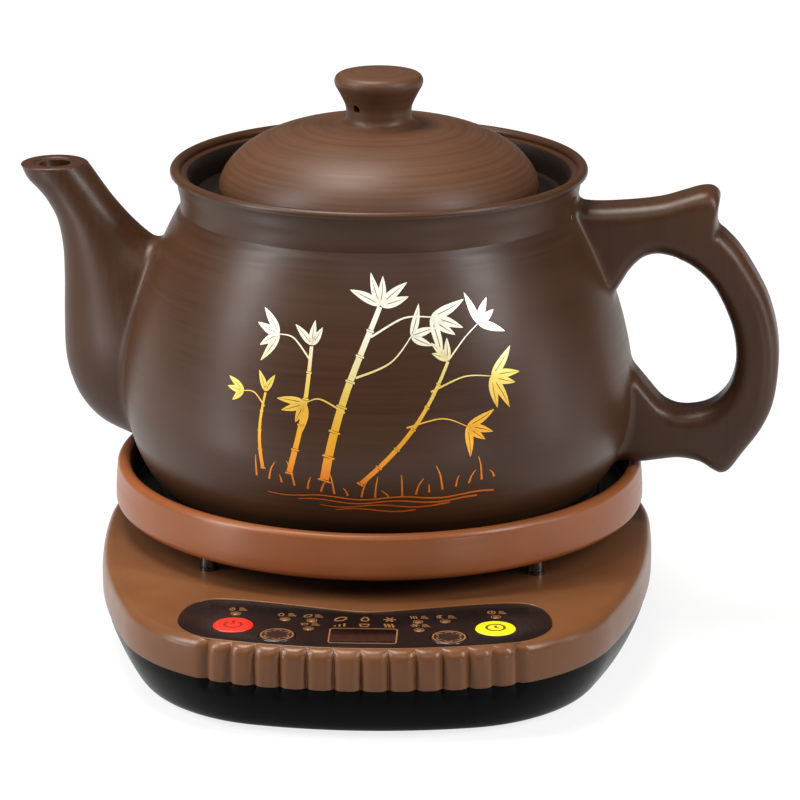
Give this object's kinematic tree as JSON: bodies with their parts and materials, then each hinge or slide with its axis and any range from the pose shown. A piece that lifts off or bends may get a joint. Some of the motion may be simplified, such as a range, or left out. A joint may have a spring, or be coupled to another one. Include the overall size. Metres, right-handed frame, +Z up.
{
  "type": "electric decoction pot",
  "caption": "Round clay decoction pot with side spout, loop handle and loose knobbed lid, standing in a raised collar on an electric heating base with a push-button panel.",
  "frame": {"origin": "on the axis of the pot and its collar, on the plane that the rubber feet stand on", "axes": "+X to the base's right-hand side, where the pot's handle points; -Y to the front edge with the control panel; +Z up"},
  "size_m": [0.3301, 0.2943, 0.238],
  "materials": {
    "black_shell": "gloss",
    "brown_cover": "gloss",
    "black_rubber": "matte",
    "zinc_steel": "satin",
    "black_panel": "gloss",
    "smoked_window": "gloss",
    "amber_lens": "gloss",
    "red_key": "satin",
    "yellow_key": "satin",
    "black_key": "satin",
    "green_board": "satin",
    "switch_black": "matte",
    "led_clear": "gloss",
    "display_grey": "matte",
    "tan_board": "satin",
    "laminated_steel": "matte",
    "relay_blue": "satin",
    "film_yellow": "satin",
    "can_aluminium": "satin",
    "terminal_green": "matte",
    "bright_post": "polished",
    "phenolic_black": "matte",
    "brown_collar": "gloss",
    "dark_steel": "satin",
    "plate_aluminium": "satin",
    "fibre_pad": "matte",
    "mica_sheet": "satin",
    "brass_stud": "satin",
    "white_ceramic": "matte",
    "spring_steel": "satin",
    "silicone_lead": "matte",
    "nickel_pin": "polished",
    "brown_clay": "satin"
  },
  "bodies": {
    "base": {"bottom_shell": "black_shell", "top_cover": "brown_cover", "rubber_feet": "black_rubber", "case_screws": "zinc_steel", "control_panel": "black_panel", "display_window": "smoked_window", "indicator_lenses": "amber_lens", "control_board": "green_board", "tact_switches": "switch_black", "indicator_leds": "led_clear", "display_module": "display_grey", "power_board": "tan_board", "board_screws": "zinc_steel", "transformer": "laminated_steel", "relay": "relay_blue", "filter_capacitor": "film_yellow", "smoothing_capacitor": "can_aluminium", "buzzer": "switch_black", "terminal_block": "terminal_green", "support_posts": "bright_post", "post_bolts": "zinc_steel", "post_nuts": "zinc_steel", "lead_conduit": "phenolic_black", "collar": "brown_collar", "heat_dish": "dark_steel", "hot_plate": "plate_aluminium", "insulation_pad": "fibre_pad", "heating_sheet": "mica_sheet", "element_terminals": "brass_stud", "thermal_cutout": "white_ceramic", "sensor_housing": "phenolic_black", "sensor_spring": "spring_steel", "heater_leads": "silicone_lead", "inlet_housing": "phenolic_black", "inlet_pins": "nickel_pin"},
    "pot": {"pot_bowl": "brown_clay", "pot_shoulder": "brown_clay", "pot_neck": "brown_clay", "pot_spout": "brown_clay", "pot_handle": "brown_clay"},
    "lid": {"lid": "brown_clay"},
    "power_key": {"power_key": "red_key"},
    "timer_key": {"timer_key": "yellow_key"},
    "minus_key": {"minus_key": "black_key"},
    "plus_key": {"plus_key": "black_key"},
    "sensor": {"sensor_cap": "can_aluminium"}
  },
  "joints": [
    {"name": "pot_lift", "type": "slide", "parent": "base", "child": "pot", "axis": [0, 0, 1], "range_m": [0, 0.06]},
    {"name": "lid_lift", "type": "slide", "parent": "pot", "child": "lid", "axis": [0, 0, 1], "range_m": [0, 0.06]},
    {"name": "power_press", "type": "slide", "parent": "base", "child": "power_key", "axis": [0, 0, -1], "range_m": [0, 0.0006], "stiffness_N_per_m": 800, "springref_m": -0.0003},
    {"name": "timer_press", "type": "slide", "parent": "base", "child": "timer_key", "axis": [0, 0, -1], "range_m": [0, 0.0006], "stiffness_N_per_m": 800, "springref_m": -0.0003},
    {"name": "minus_press", "type": "slide", "parent": "base", "child": "minus_key", "axis": [0, 0, -1], "range_m": [0, 0.0006], "stiffness_N_per_m": 800, "springref_m": -0.0003},
    {"name": "plus_press", "type": "slide", "parent": "base", "child": "plus_key", "axis": [0, 0, -1], "range_m": [0, 0.0006], "stiffness_N_per_m": 800, "springref_m": -0.0003},
    {"name": "sensor_plunge", "type": "slide", "parent": "base", "child": "sensor", "axis": [0, 0, 1], "range_m": [-0.003, 0], "stiffness_N_per_m": 600, "springref_m": 0.002, "deforming": ["sensor_spring"]}
  ]
}
